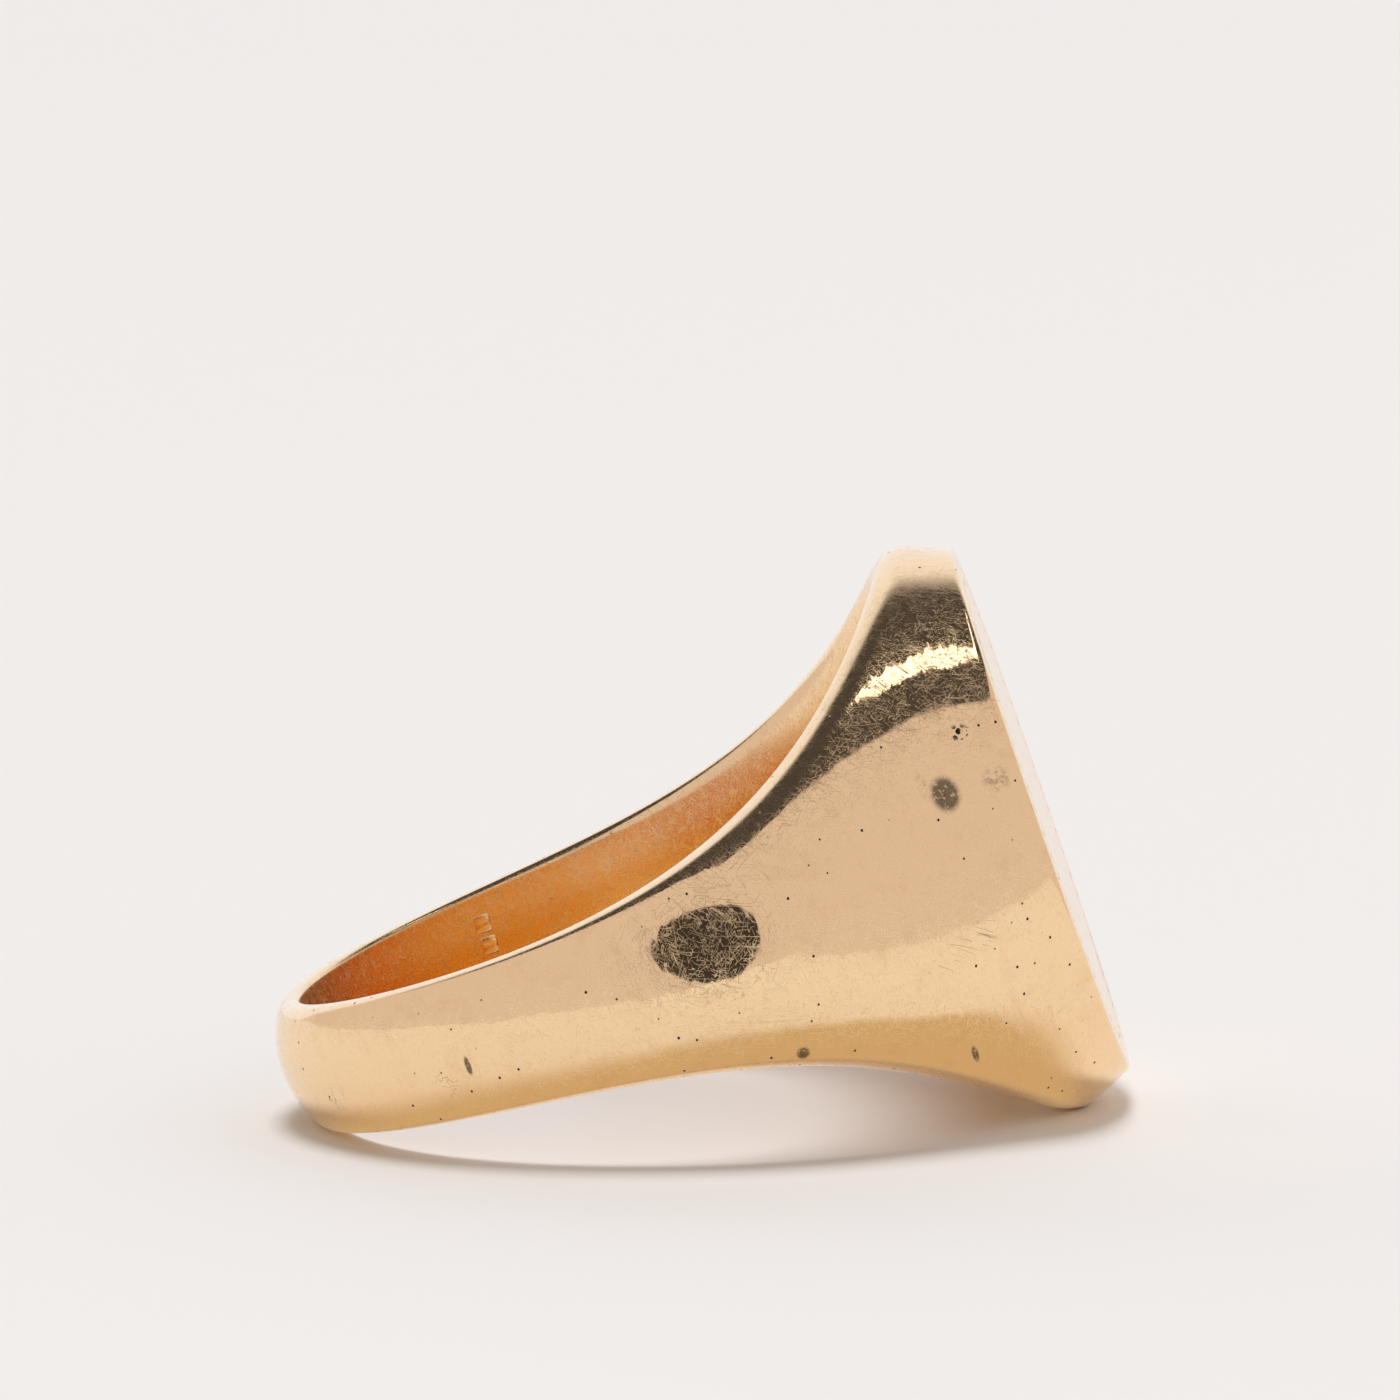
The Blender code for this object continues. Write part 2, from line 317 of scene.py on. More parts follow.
def take(thing):
    """Makes one object the only one selected."""
    deselect_all()
    thing.select_set(True)
    bpy.context.view_layer.objects.active = thing


def add_form():
    """The whole ring as one band: a sheet rolled onto the ring's sections and closed on itself."""
    form = Form()
    turns = form.turns()
    sections = [form.section(turn) for turn in turns]
    deselect_all()
    bpy.ops.mesh.primitive_grid_add(x_subdivisions=sections[0].shape[1], y_subdivisions=len(turns))
    band = bpy.context.object
    band.name = "ring_form"
    points = []
    for turn, section in zip([*turns, turns[0]], [*sections, sections[0]]):
        radius, place = np.concatenate([section, section[:, :1]], axis=1)
        points.append(np.stack([radius * math.cos(turn), radius * math.sin(turn), place], axis=1))
    band.data.vertices.foreach_set("co", to_frame(np.concatenate(points)).astype(np.float32).ravel())
    band.data.update()
    bpy.ops.object.mode_set(mode="EDIT")
    bpy.ops.mesh.select_all(action="SELECT")
    bpy.ops.mesh.remove_doubles(threshold=WELD_DISTANCE)
    bpy.ops.mesh.normals_make_consistent(inside=False)
    bpy.ops.object.mode_set(mode="OBJECT")
    return band


def ring_form():
    """The band that the pieces are sawn from, made once."""
    return bpy.data.objects.get("ring_form") or add_form()


def saw(name, cuts):
    """A copy of the band, sawn off at each plane (a point on it, and the way to the waste)."""
    source = ring_form()
    piece = source.copy()
    piece.data = source.data.copy()
    piece.name = name
    piece.data.name = name
    bpy.context.scene.collection.objects.link(piece)
    take(piece)
    bpy.ops.object.mode_set(mode="EDIT")
    for place, waste in cuts:
        bpy.ops.mesh.select_all(action="SELECT")
        bpy.ops.mesh.bisect(plane_co=place, plane_no=waste, clear_outer=True,
                            threshold=SAW_THRESHOLD)
        bpy.ops.mesh.select_all(action="SELECT")
        bpy.ops.mesh.fill_holes(sides=0)
    bpy.ops.object.mode_set(mode="OBJECT")
    return piece


def across_cut(turn, sign):
    """A saw cut through the band at an angle, with the waste on the side of sign."""
    waste = Vector((-math.sin(turn), math.cos(turn), 0)) * sign
    return HOLE, TO_FRAME @ waste


def level_cut(height, sign):
    """A saw cut across the head at a height above the hole's middle."""
    return HOLE + OUT * height, OUT * sign


def finish_piece(piece, material, node):
    """Smooths a piece, gives it its metal and sets it in the frame."""
    take(piece)
    bpy.ops.object.shade_smooth_by_angle(angle=SMOOTH_ANGLE)
    piece.data.materials.clear()
    piece.data.materials.append(material)
    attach(piece, "root")
    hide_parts(node)


def sawn_span(name, start, end):
    """A piece of the band between two angles."""
    return saw(name, (across_cut(start, -1), across_cut(end, 1)))


# ---------------------------------------------------------------- engraving and punch marks


# The border: its two lines' insets from the table's edge and half widths, and the dots between.
BORDER_LINES = ((0.55 * MM, 0.045 * MM), (1.25 * MM, 0.035 * MM))
LINE_STEPS = 240
DOT_INSET = 0.9 * MM
DOT_COUNT = 58
DOT_RADIUS = 0.12 * MM
DOT_LIFT = 0.06 * MM

# The punch marks: where round and along the bore, how big and how deep, and how they're turned.
PUNCH_ANGLE = math.radians(119.5)
PUNCH_PLACES = (0.98 * MM, 0.36 * MM)
PUNCH_SIZE = 0.5 * MM
PUNCH_SQUASH = 0.2
PUNCH_TWIST = math.radians(4)
PUNCH_BEVEL = 0.04 * MM


def oval_path(inset):
    """Points round an oval that lies inside the table's edge, as (across, along)."""
    s = sizes()
    turn = np.linspace(0, 2 * math.pi, LINE_STEPS, endpoint=False)
    half = (s.table_width / 2 - inset, s.table_length / 2 - inset)
    power = 2 / OVAL_POWER
    return np.stack([
        half[0] * np.sign(np.cos(turn)) * np.abs(np.cos(turn)) ** power,
        half[1] * np.sign(np.sin(turn)) * np.abs(np.sin(turn)) ** power,
    ], axis=1)


def oval_cord(name, inset, radius):
    """A square-section oval that lies in the table's face, to cut a line with."""
    deselect_all()
    bpy.ops.mesh.primitive_torus_add(major_segments=LINE_STEPS, minor_segments=4,
                                     major_radius=5 * MM, minor_radius=MM)
    cord = bpy.context.object
    cord.name = name
    path = oval_path(inset)
    way = np.roll(path, -1, axis=0) - np.roll(path, 1, axis=0)
    way /= np.linalg.norm(way, axis=1)[:, None]
    outward = np.stack([way[:, 1], -way[:, 0]], axis=1)
    corners = []
    for rise, spread in ((0, 1), (1, 0), (0, -1), (-1, 0)):
        flat = path + outward * radius * spread
        height = np.full(LINE_STEPS, TABLE_HEIGHT + radius * rise)
        corners.append(np.stack([height, flat[:, 0], flat[:, 1]], axis=1))
    points = np.stack(corners, axis=1).reshape(-1, 3)
    cord.data.vertices.foreach_set("co", to_frame(points).astype(np.float32).ravel())
    cord.data.update()
    make_outward(cord)
    return cord


def make_outward(thing):
    """Turns a closed shape's faces outwards."""
    take(thing)
    bpy.ops.object.mode_set(mode="EDIT")
    bpy.ops.mesh.select_all(action="SELECT")
    bpy.ops.mesh.normals_make_consistent(inside=False)
    bpy.ops.object.mode_set(mode="OBJECT")


def cut_away(piece, cutter):
    """Cuts one shape out of a piece and throws the cutter away."""
    take(piece)
    cut = piece.modifiers.new("cut", "BOOLEAN")
    cut.operation = "DIFFERENCE"
    cut.solver = "MANIFOLD"
    cut.object = cutter
    bpy.ops.object.modifier_apply(modifier=cut.name)
    bpy.data.objects.remove(cutter, do_unlink=True)


def join(things, name):
    """Makes several objects one."""
    deselect_all()
    for thing in things:
        thing.select_set(True)
    bpy.context.view_layer.objects.active = things[0]
    bpy.ops.object.join()
    joined = bpy.context.object
    joined.name = name
    return joined


def engrave_border(plate):
    """Two cut lines round the table with a row of punched dots between them."""
    for number, (inset, radius) in enumerate(BORDER_LINES):
        cut_away(plate, oval_cord(f"line_cutter_{number}", inset, radius))
    path = oval_path(DOT_INSET)
    closed = np.concatenate([path, path[:1]])
    run = np.concatenate([[0], np.cumsum(np.linalg.norm(np.diff(closed, axis=0), axis=1))])
    dots = []
    for place in np.linspace(0, run[-1], DOT_COUNT, endpoint=False):
        across, along = (np.interp(place, run, closed[:, axis]) for axis in (0, 1))
        middle = HOLE + TO_FRAME @ Vector((TABLE_HEIGHT + DOT_LIFT, across, along))
        deselect_all()
        bpy.ops.mesh.primitive_uv_sphere_add(segments=12, ring_count=8, radius=DOT_RADIUS,
                                             location=middle)
        bpy.ops.object.transform_apply(location=True, rotation=True, scale=True)
        dots.append(bpy.context.object)
    cut_away(plate, join(dots, "dot_cutter"))


def punch_marks(shank):
    """Two plain square punch marks inside the shank."""
    bore = sizes().hole_radius
    for along in PUNCH_PLACES:
        middle = Vector((bore * math.cos(PUNCH_ANGLE), bore * math.sin(PUNCH_ANGLE), along))
        deselect_all()
        bpy.ops.mesh.primitive_cube_add(size=PUNCH_SIZE)
        punch = bpy.context.object
        twist = Matrix.Rotation(PUNCH_TWIST, 3, "X")
        turned = TO_FRAME @ Matrix.Rotation(PUNCH_ANGLE, 3, "Z") @ twist
        squash = Matrix.Diagonal((PUNCH_SQUASH, 1.0, 1.0))
        place = Matrix.Translation(HOLE + TO_FRAME @ middle)
        punch.matrix_world = place @ (turned @ squash).to_4x4()
        bpy.ops.object.transform_apply(location=True, rotation=True, scale=True)
        bpy.ops.object.mode_set(mode="EDIT")
        bpy.ops.mesh.select_all(action="SELECT")
        bpy.ops.mesh.bevel(offset=PUNCH_BEVEL, segments=2, affect="EDGES")
        bpy.ops.object.mode_set(mode="OBJECT")
        cut_away(shank, punch)


# ---------------------------------------------------------------- metal and paper


class Nodes:
    """A material's or world's node tree, with short ways to add to it."""

    def __init__(self, owner):
        owner.use_nodes = True
        self.tree = owner.node_tree
        self.tree.nodes.clear()

    def add(self, kind, inputs=None, **settings):
        """Adds a node, sets or links its inputs and sets its settings."""
        made = self.tree.nodes.new(kind)
        for name, value in settings.items():
            setattr(made, name, value)
        for name, value in (inputs or {}).items():
            self.put(made.inputs[name], value)
        return made

    def put(self, socket, value):
        """Links another node's output to an input, or sets the input's value."""
        if isinstance(value, bpy.types.NodeSocket):
            self.tree.links.new(value, socket)
        else:
            socket.default_value = value

    def math(self, operation, *values, clamp=False):
        """One step of arithmetic on one to three values."""
        made = self.add("ShaderNodeMath", dict(enumerate(values)), operation=operation,
                        use_clamp=clamp)
        return made.outputs[0]

    def times(self, first, second):
        """first * second."""
        return self.math("MULTIPLY", first, second)

    def add_times(self, value, factor, base):
        """base + value * factor."""
        return self.math("MULTIPLY_ADD", value, factor, base)

    def ramp(self, value, low, high, start=0.0, end=1.0):
        """A smooth step between two values."""
        made = self.add("ShaderNodeMapRange", {
            "Value": value, "From Min": low, "From Max": high, "To Min": start, "To Max": end,
        }, interpolation_type="SMOOTHSTEP")
        return made.outputs["Result"]

    def noise(self, vector, scale, detail=2.0, roughness=0.5, distortion=0.0):
        """Cloudy noise, mostly between 0.3 and 0.7."""
        made = self.add("ShaderNodeTexNoise", {
            "Vector": vector, "Scale": scale, "Detail": detail,
            "Roughness": roughness, "Distortion": distortion,
        })
        return made.outputs["Fac"]

    def cells(self, vector, scale):
        """The distance from the nearest of many scattered points."""
        made = self.add("ShaderNodeTexVoronoi", {
            "Vector": vector, "Scale": scale, "Randomness": 1.0,
        })
        return made.outputs["Distance"]

    def mapped(self, vector, location=(0, 0, 0), rotation=(0, 0, 0), scale=(1, 1, 1), kind="POINT"):
        """Coordinates moved, turned and scaled."""
        made = self.add("ShaderNodeMapping", {
            "Vector": vector, "Location": location, "Rotation": rotation, "Scale": scale,
        }, vector_type=kind)
        return made.outputs["Vector"]

    def mix(self, factor, first, second):
        """A mix of two colours."""
        made = self.add("ShaderNodeMix", data_type="RGBA")
        sockets = (made.inputs[0], made.inputs[6], made.inputs[7])
        for socket, value in zip(sockets, (factor, first, second)):
            self.put(socket, value)
        return made.outputs[2]


def ring_millimetres(nodes):
    """Object coordinates turned onto the ring's own axes, in millimetres from the hole's middle."""
    place = nodes.add("ShaderNodeTexCoord").outputs["Object"]
    turn_back = TO_FRAME.transposed()
    shift = -(turn_back @ HOLE) / MM
    return nodes.mapped(place, location=shift, rotation=turn_back.to_euler(), scale=(1 / MM,) * 3)


# How much longer a hairline's stretches are than they are wide, and how they are broken up.
SCRATCH_STRETCH = 30.0
SCRATCH_PATCHES = 2.6
SCRATCH_FADE = 0.05


def scratch_layer(nodes, place, rotation, fineness, width, cover, shift):
    """Hairlines along one direction, broken up into stretches: 1 in a hairline, 0 beside it."""
    scale = (SCRATCH_STRETCH / fineness, 1.0 / fineness, 1.0 / fineness)
    run = nodes.mapped(place, shift, rotation, scale, kind="TEXTURE")
    field = nodes.noise(run, 1.0, detail=0.0)
    away = nodes.math("ABSOLUTE", nodes.math("SUBTRACT", field, 0.5))
    line = nodes.ramp(away, 0.0, width, 1.0, 0.0)
    moved = nodes.mapped(place, location=(shift[1], shift[2], shift[0]))
    patch = nodes.noise(moved, SCRATCH_PATCHES, detail=1.0)
    return nodes.times(line, nodes.ramp(patch, cover, cover + SCRATCH_FADE))


# Each way the hairlines run: how it is turned, how close together and how wide they are,
# how much of the surface is free of them, and a shift that keeps one way from matching another.
SCRATCH_WAYS = (
    ((0.0, 0.35, 0.2), 8.0, 0.018, 0.44, (3.1, 7.7, 1.3)),
    ((0.0, 0.95, -0.3), 9.0, 0.020, 0.45, (13.4, 2.7, 8.1)),
    ((0.0, 1.50, 0.25), 7.4, 0.016, 0.45, (5.9, 17.2, 4.4)),
    ((0.0, 2.05, -0.2), 11.0, 0.022, 0.47, (1.9, 9.3, 21.5)),
    ((0.0, 2.60, 0.35), 9.6, 0.020, 0.45, (29.6, 3.3, 6.1)),
    ((0.0, 0.65, 0.0), 5.4, 0.012, 0.50, (8.8, 31.4, 2.2)),
    ((0.0, 2.30, 0.1), 6.2, 0.012, 0.50, (18.2, 11.4, 7.2)),
)
SCORED_WAY = ((0.0, 0.55, 0.75), 7.0, 0.030, 0.42, (4.4, 1.7, 9.9))

# Marks of wear on the right side: the middle in the ring's own millimetres, and the half size.
TARNISH_SPOTS = (
    ((9.4, -6.95, 2.05), (0.55, 0.55, 0.60)),
    ((3.8, -9.75, -2.85), (0.22, 0.30, 0.22)),
    ((7.9, -7.0, -4.7), (0.11, 0.30, 0.34)),
    ((-4.65, -8.85, -0.45), (0.10, 0.30, 0.34)),
)
RUBBED_SPOTS = (
    ((10.75, -6.05, 1.9), (0.55, 0.5, 0.45)),
    ((9.0, -7.3, 2.7), (0.3, 0.3, 0.8)),
)
PIT_CLUSTERS = (((10.2, -6.05, 3.4), (0.42, 0.4, 0.26)),)
SCORED_PATCHES = (
    ((8.9, -7.3, -1.75), (1.1, 1.0, 0.55)),
    ((7.9, -7.9, -2.1), (0.9, 1.0, 0.30)),
    ((-5.3, -8.45, -0.75), (0.7, 1.0, 0.55)),
    ((-8.6, -5.2, -0.6), (0.8, 1.0, 0.55)),
)

# The pits: how many to the millimetre and where they fade out, alone and in the cluster.
PIT_CELLS = 1.9
PIT_FADE = (0.050, 0.085)
CLUSTER_CELLS = 5.5
CLUSTER_FADE = (0.30, 0.46)

# Where a patch fades out, as a share of its half size, and how the grain breaks up the spots.
PATCH_FADE = (0.35, 1.0)
SPOT_GAIN = 1.5
SPOT_GRAIN = (0.28, 0.50)
RUBBED_GRAIN = (0.44, 0.60)

# Where the haze turns the gold dull, and where it turns it brown.
DULL_HAZE = (0.35, 0.70)
STAIN_HAZE = (0.50, 0.72)

# The bore ends this far outside the hole's radius and is deep this far behind its rims, in mm.
BORE_EDGE = (0.01, 0.06)
BORE_DEEP = (0.5, 1.5)

# How high the surface's unevenness stands, and how deep its marks are, in microns.
MICRON = 1e-6
DENT_HEIGHT = 14.0
RIPPLE_HEIGHT = 5.0
GRAIN_HEIGHT = 0.16
SCRATCH_DEPTH = 0.55
SCORE_DEPTH = 2.2
PIT_DEPTH = 25.0

# How dull the metal is: where it is brightest, and what haze, bore, hairlines and dirt add.
POLISH = 0.030
HAZE_DULL = 0.035
BORE_DULL = 0.16
SCRATCH_DULL = 0.34
DIRT_DULL = 0.45

# The share of the gold's red, green and blue that is left deep in the bore, where painted shade and
# painted gold-on-gold reflection turn it a deeper orange, and in a brown stain.
PAINTED_BORE_SHARES = (0.94, 0.72, 0.33)
STAIN_SHARES = (0.80, 0.70, 0.60)
STAIN_STRENGTH = 0.22

# How strongly the scored patches, the rubbed spots and the tarnish darken the gold.
SCORE_DIRT = 0.55
RUBBED_DIRT = 0.45
TARNISH_DIRT = 0.78


def blot(nodes, place, middle, half):
    """A soft round patch: 1 in its middle, 0 outside."""
    scale = tuple(1 / size for size in half)
    shift = tuple(-centre / size for centre, size in zip(middle, half))
    away = nodes.add("ShaderNodeVectorMath", {0: nodes.mapped(place, location=shift, scale=scale)},
                     operation="LENGTH")
    return nodes.ramp(away.outputs["Value"], *PATCH_FADE, 1.0, 0.0)


def blots(nodes, place, spots):
    """Several soft patches as one."""
    found = None
    for middle, half in spots:
        patch = blot(nodes, place, middle, half)
        found = patch if found is None else nodes.math("MAXIMUM", found, patch)
    return found


def scratched(nodes, place):
    """The fine hairlines, and the coarser ones in the scored patches."""
    scratches = None
    for way in SCRATCH_WAYS:
        layer = scratch_layer(nodes, place, *way)
        scratches = layer if scratches is None else nodes.math("MAXIMUM", scratches, layer)
    scored = scratch_layer(nodes, place, *SCORED_WAY)
    return scratches, nodes.times(scored, blots(nodes, place, SCORED_PATCHES))


def pitted(nodes, place):
    """Pits scattered over the metal, and a close cluster of them."""
    pits = nodes.ramp(nodes.cells(place, PIT_CELLS), *PIT_FADE, 1.0, 0.0)
    cluster = nodes.ramp(nodes.cells(place, CLUSTER_CELLS), *CLUSTER_FADE, 1.0, 0.0)
    cluster = nodes.times(cluster, blots(nodes, place, PIT_CLUSTERS))
    return nodes.math("MAXIMUM", pits, cluster)


def tarnished(nodes, place):
    """The tarnish spots and the rubbed spots, both broken up by a grain."""
    grain = nodes.noise(place, 6.0, detail=4.0, roughness=0.75)
    spots = nodes.math("MULTIPLY", blots(nodes, place, TARNISH_SPOTS), SPOT_GAIN, clamp=True)
    spots = nodes.times(spots, nodes.ramp(grain, *SPOT_GRAIN))
    rubbed = nodes.times(blots(nodes, place, RUBBED_SPOTS), nodes.ramp(grain, *RUBBED_GRAIN))
    return spots, rubbed


def bored(nodes, place):
    """Where the bore is, and where it lies deep behind its rims, which takes the painted shade: 1
    there, 0 elsewhere.
    """
    s = sizes()
    out, across, along = nodes.add("ShaderNodeSeparateXYZ", {"Vector": place}).outputs
    reach = nodes.math("SQRT", nodes.add_times(out, out, nodes.times(across, across)))
    inner, outer = (s.hole_radius / MM + step for step in BORE_EDGE)
    in_bore = nodes.ramp(reach, inner, outer, 1.0, 0.0)
    turn = nodes.math("DIVIDE", nodes.math("ARCTAN2", across, out), s.flare_reach)
    bell = nodes.math("EXPONENT", nodes.times(nodes.times(turn, turn), -1.0))
    rear = s.shank_width / 2 / MM
    flare = (s.head_length - s.shank_width) / 2 / MM
    rim = nodes.add_times(bell, flare, rear)
    depth = nodes.math("SUBTRACT", rim, nodes.math("ABSOLUTE", along))
    return in_bore, nodes.times(in_bore, nodes.ramp(depth, *BORE_DEEP))


def shaded(tint, shares):
    """A metal's colour with less of its red, green and blue."""
    return (*(part * share for part, share in zip(tint, shares)), 1)


def worn_gold(name, tint):
    """Polished gold with hairlines, soft waves, pits and tarnish, and a painted orange shade and
    gold-on-gold reflection deep in the bore.
    """
    material = bpy.data.materials.new(name)
    nodes = Nodes(material)
    place = ring_millimetres(nodes)
    scratches, scored = scratched(nodes, place)
    pits = pitted(nodes, place)
    spots, rubbed = tarnished(nodes, place)
    in_bore, painted_bore_shade = bored(nodes, place)
    haze = nodes.noise(place, 1.3, detail=4.0, roughness=0.65)
    grain = nodes.noise(place, 11.0, detail=3.0, roughness=0.7)
    dents = nodes.noise(place, 0.55, detail=2.0)
    ripple_run = nodes.mapped(place, rotation=(0.0, 0.35, 0.0), scale=(2.6, 0.8, 0.5))
    ripple = nodes.noise(ripple_run, 1.0, detail=1.5, distortion=0.6)

    height = nodes.times(scratches, -SCRATCH_DEPTH)
    height = nodes.add_times(scored, -SCORE_DEPTH, height)
    height = nodes.add_times(dents, DENT_HEIGHT, height)
    height = nodes.add_times(ripple, RIPPLE_HEIGHT, height)
    height = nodes.add_times(grain, GRAIN_HEIGHT, height)
    height = nodes.add_times(pits, -PIT_DEPTH, height)
    bump = nodes.add("ShaderNodeBump", {"Strength": 1.0, "Distance": MICRON, "Height": height})

    # The pits hold no dirt in the bore, which the finger keeps clean.
    dirty_pits = nodes.times(pits, nodes.math("SUBTRACT", 1.0, in_bore))
    dirt = nodes.math("MAXIMUM", dirty_pits, nodes.times(spots, TARNISH_DIRT))
    tarnish = (*looks().tarnish, 1)
    stain = nodes.times(nodes.ramp(haze, *STAIN_HAZE), STAIN_STRENGTH)
    # Painted shade and reflection: deep in the bore the gold is turned a darker, deeper orange.
    colour_out = nodes.mix(painted_bore_shade, (*tint, 1), shaded(tint, PAINTED_BORE_SHARES))
    colour_out = nodes.mix(stain, colour_out, shaded(tint, STAIN_SHARES))
    colour_out = nodes.mix(nodes.times(scored, SCORE_DIRT), colour_out, tarnish)
    colour_out = nodes.mix(nodes.times(rubbed, RUBBED_DIRT), colour_out, tarnish)
    colour_out = nodes.mix(dirt, colour_out, tarnish)

    rough = nodes.ramp(haze, *DULL_HAZE, POLISH, POLISH + HAZE_DULL)
    rough = nodes.add_times(in_bore, BORE_DULL, rough)
    rough = nodes.add_times(scratches, SCRATCH_DULL, rough)
    rough = nodes.math("MULTIPLY_ADD", dirt, DIRT_DULL, rough, clamp=True)
    shader = nodes.add("ShaderNodeBsdfPrincipled", {
        "Base Color": colour_out, "Metallic": 1.0, "Roughness": rough,
        "Normal": bump.outputs["Normal"],
    })
    nodes.add("ShaderNodeOutputMaterial", {"Surface": shader.outputs["BSDF"]})
    return material


# The paper's surface: how fine its tooth is, and how high.
TOOTH_SCALE = 2200.0
TOOTH_HEIGHT = 3e-5


def paper():
    """Matt pale paper with a faint tooth."""
    material = bpy.data.materials.new("studio_paper")
    nodes = Nodes(material)
    place = nodes.add("ShaderNodeTexCoord").outputs["Object"]
    tooth = nodes.noise(place, TOOTH_SCALE, detail=3.0, roughness=0.6)
    bump = nodes.add("ShaderNodeBump", {"Strength": 0.25, "Distance": TOOTH_HEIGHT, "Height": tooth})
    shader = nodes.add("ShaderNodeBsdfPrincipled", {
        "Base Color": (*looks().floor, 1), "Roughness": 0.95, "Specular IOR Level": 0.1,
        "Normal": bump.outputs["Normal"],
    })
    nodes.add("ShaderNodeOutputMaterial", {"Surface": shader.outputs["BSDF"]})
    return material


# ---------------------------------------------------------------- the operators


class RING_OT_seal_plate(bpy.types.Operator):
    """Add the engraved seal plate, the head block under it and the solder between them."""

    bl_idname = "ring.seal_plate"
    bl_label = "Seal plate and head block"

    def execute(self, context):
        s = sizes()
        plate_low = TABLE_HEIGHT - s.plate_thickness
        solder_low = plate_low - s.solder_thickness
        span = (across_cut(-HEAD_HALF_ANGLE, -1), across_cut(HEAD_HALF_ANGLE, 1))
        plate = saw("seal_plate_gold", (*span, level_cut(plate_low, -1)))
        engrave_border(plate)
        finish_piece(plate, worn_gold("plate_gold", looks().gold), "seal_plate")
        layer = (level_cut(plate_low, 1), level_cut(solder_low, -1))
        solder = saw("table_solder_line", (*span, *layer))
        metal = worn_gold("table_solder_gold", looks().solder)
        finish_piece(solder, metal, "table_solder")
        block = saw("head_block_gold", (*span, level_cut(solder_low, 1), level_cut(0, -1)))
        finish_piece(block, worn_gold("block_gold", looks().gold), "head_block")
        return {"FINISHED"}


class RING_OT_shoulders(bpy.types.Operator):
    """Add the two flared shoulders and the solder that holds them to the head."""

    bl_idname = "ring.shoulders"
    bl_label = "Shoulders"

    def execute(self, context):
        half = sizes().solder_thickness / sizes().hole_radius / 2
        gold = worn_gold("shoulder_gold", looks().gold)
        solder = worn_gold("shoulder_solder_gold", looks().solder)
        for side, turn in (("left", 1), ("right", -1)):
            ends = sorted((turn * (HEAD_HALF_ANGLE + 2 * half), turn * (SHOULDER_END - half)))
            piece = sawn_span(side + "_shoulder_gold", *ends)
            finish_piece(piece, gold, side + "_shoulder")
            ends = sorted((turn * HEAD_HALF_ANGLE, turn * (HEAD_HALF_ANGLE + 2 * half)))
            piece = sawn_span(side + "_shoulder_solder_line", *ends)
            finish_piece(piece, solder, side + "_shoulder_solder")
        return {"FINISHED"}


class RING_OT_shanks(bpy.types.Operator):
    """Add the two lengths of shank, the sizing piece and the solder at their ends."""

    bl_idname = "ring.shanks"
    bl_label = "Shanks and sizing piece"

    def execute(self, context):
        half = sizes().solder_thickness / sizes().hole_radius / 2
        gold = worn_gold("shank_gold", looks().gold)
        solder = worn_gold("shank_solder_gold", looks().solder)
        for side, turn in (("left", 1), ("right", -1)):
            ends = sorted((turn * (SHOULDER_END + half), turn * (SIZING_START - half)))
            piece = sawn_span(side + "_shank_gold", *ends)
            if side == "left":
                punch_marks(piece)
            finish_piece(piece, gold, side + "_shank")
            for joint, middle in (("shank", SHOULDER_END), ("sizing", SIZING_START)):
                ends = sorted((turn * middle - half, turn * middle + half))
                piece = sawn_span(f"{side}_{joint}_solder_line", *ends)
                finish_piece(piece, solder, f"{side}_{joint}_solder")
        piece = sawn_span("sizing_piece_gold", SIZING_START + half, 2 * math.pi - SIZING_START - half)
        finish_piece(piece, gold, "sizing_piece")
        bpy.data.objects.remove(ring_form(), do_unlink=True)
        return {"FINISHED"}


class RING_OT_studio(bpy.types.Operator):
    """Add the paper floor, the cards that the gold mirrors, the lights, the room and the camera."""

    bl_idname = "ring.studio"
    bl_label = "Studio"

    def execute(self, context):
        add_floor()
        add_grey_card()
        add_lens()
        add_shade()
        add_lights()
        add_world()
        add_camera()
        return {"FINISHED"}


# ---------------------------------------------------------------- the studio


# The room that the gold mirrors. A brightness of 1 is white.
ROOM_TINT = (0.73, 0.66, 0.655)
BACK_TINT = (0.96, 0.98, 1.05)
CEILING_TINT = (0.07, 0.065, 0.065)
CEILING_AZIMUTH = 65.0
CEILING_SLOPE = 0.966
CEILING_SOFTNESS = 0.03
FRONT_TO_BACK = (0.40, 0.70)

# The lights: where they stand as (azimuth, elevation) in degrees, how broad and how strong.
OVERHEAD_WAY = (200.0, 84.0)
OVERHEAD_SPREAD = math.radians(22.0)
OVERHEAD_POWER = 1.60
OVERHEAD_TINT = (0.96, 0.97, 1.0)
FILL_SPREAD = math.radians(150.0)
FILL_POWER = 0.68
FILL_TINT = (1.0, 0.93, 0.84)
WINDOW_WAY = (95.0, 60.5)
WINDOW_DISTANCE = 0.5
WINDOW_SIZE = (0.24, 0.04)
WINDOW_BRIGHTNESS = 2.2
WINDOW_TINT = (1.0, 0.98, 0.96)

# The grey card: the way it runs, its foot beside the ring, its two ends and its height.
CARD_AZIMUTH = math.radians(35.0)
CARD_FOOT = Vector((-31.0, 4.0, 0.0)) * MM
CARD_ENDS = (-60 * MM, 600 * MM)
CARD_HEIGHT = 30 * MM

# The dark lens in front of the ring.
LENS_MIDDLE = Vector((3.0, -32.0, 7.3)) * MM
LENS_HALF = (7.8 * MM, 5.3 * MM)
LENS_TILT = math.radians(8.0)
LENS_TINT = (0.045, 0.042, 0.04)

